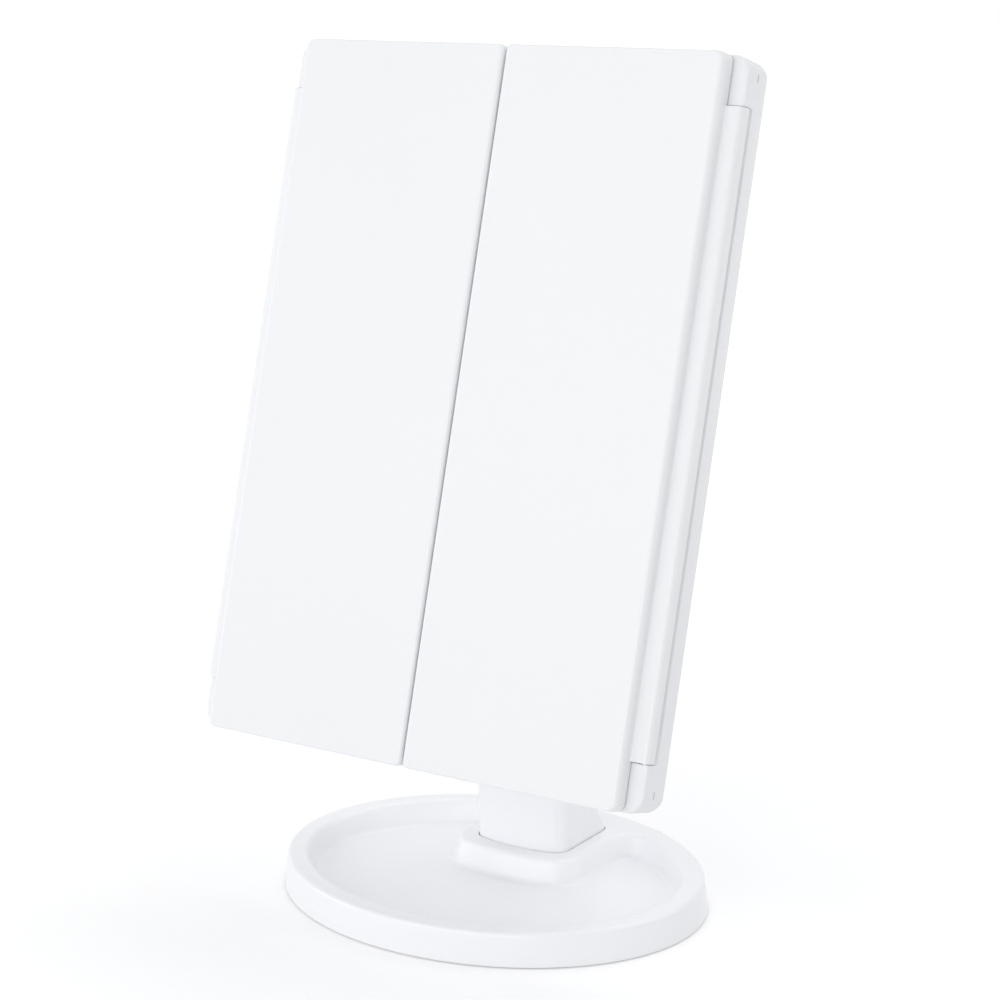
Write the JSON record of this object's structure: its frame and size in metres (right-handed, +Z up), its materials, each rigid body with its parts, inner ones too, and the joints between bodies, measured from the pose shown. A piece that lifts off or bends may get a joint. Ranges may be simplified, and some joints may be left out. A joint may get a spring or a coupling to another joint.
{
  "type": "trifold vanity mirror",
  "caption": "Lighted trifold vanity mirror that tilts on a neck above an oval tray base; two wings fold shut over the main mirror.",
  "frame": {"origin": "centre of the footprint, on the table plane under the rubber feet", "axes": "+X to the viewer's right along the width, +Y from the viewer towards the back, +Z up"},
  "size_m": [0.1774, 0.1216, 0.2887],
  "materials": {
    "base_shell": "smooth white moulding with a soft sheen",
    "base_weight": "plain plated sheet",
    "foot_rubber": "soft matt rubber",
    "neck_shell": "smooth white moulding with a soft sheen",
    "washer_nylon": "matt nylon",
    "plated_steel": "plated steel",
    "cap_white": "smooth white moulding",
    "body_shell": "smooth white moulding with a soft sheen",
    "silver_glass": "silvered glass",
    "light_cover": "frosted translucent strip",
    "circuit_board": "coated circuit board",
    "touch_mark": "thin printed ring",
    "cell_jacket": "plain printed jacket without text",
    "switch_black": "matt black plastic",
    "knob_white": "smooth white moulding",
    "wing_shell": "smooth white moulding with a soft sheen"
  },
  "bodies": {
    "base": {"base_tray": "base_shell", "base_plate": "base_weight", "foot_pads": "foot_rubber", "neck_column": "neck_shell", "neck_screws": "plated_steel", "friction_washers": "washer_nylon"},
    "head": {"tilt_axle": "plated_steel", "axle_caps": "cap_white", "front_frame": "body_shell", "rear_cover": "body_shell", "centre_mirror": "silver_glass", "touch_ring": "touch_mark", "touch_sensor_board": "circuit_board", "left_light_diffuser": "light_cover", "left_led_board": "circuit_board", "right_light_diffuser": "light_cover", "right_led_board": "circuit_board", "main_board": "circuit_board", "switch_case": "switch_black", "power_inlet": "plated_steel", "body_screws": "plated_steel", "battery_cells": "cell_jacket", "battery_springs": "plated_steel", "battery_contacts": "plated_steel"},
    "right_wing": {"right_wing_shell": "wing_shell", "right_wing_frame": "wing_shell", "right_wing_mirror": "silver_glass", "right_hinge_pins": "plated_steel"},
    "left_wing": {"left_wing_shell": "wing_shell", "left_wing_frame": "wing_shell", "left_magnifier_lower": "silver_glass", "left_magnifier_upper": "silver_glass", "left_hinge_pins": "plated_steel"},
    "power_switch": {"switch_knob": "knob_white"},
    "battery_cover": {"battery_lid": "body_shell"}
  },
  "joints": [
    {"name": "head_tilt", "type": "hinge", "parent": "base", "child": "head", "pos_m": [0, -0.0044, 0.1137], "axis": [1, 0, 0], "range_deg": [-33, 22]},
    {"name": "right_wing_hinge", "type": "hinge", "parent": "head", "child": "right_wing", "pos_m": [0.0862, -0.01013, 0.17192], "axis": [0, 0.2924, 0.9563], "range_deg": [0, 180]},
    {"name": "left_wing_hinge", "type": "hinge", "parent": "head", "child": "left_wing", "pos_m": [-0.0862, -0.01013, 0.17192], "axis": [0, -0.2924, -0.9563], "range_deg": [0, 180]},
    {"name": "power_switch_slide", "type": "slide", "parent": "head", "child": "power_switch", "axis": [1, 0, 0], "range_m": [0, 0.003]},
    {"name": "battery_cover_slide", "type": "slide", "parent": "head", "child": "battery_cover", "axis": [0, 0.9563, -0.2924], "range_m": [0, 0.012]}
  ]
}
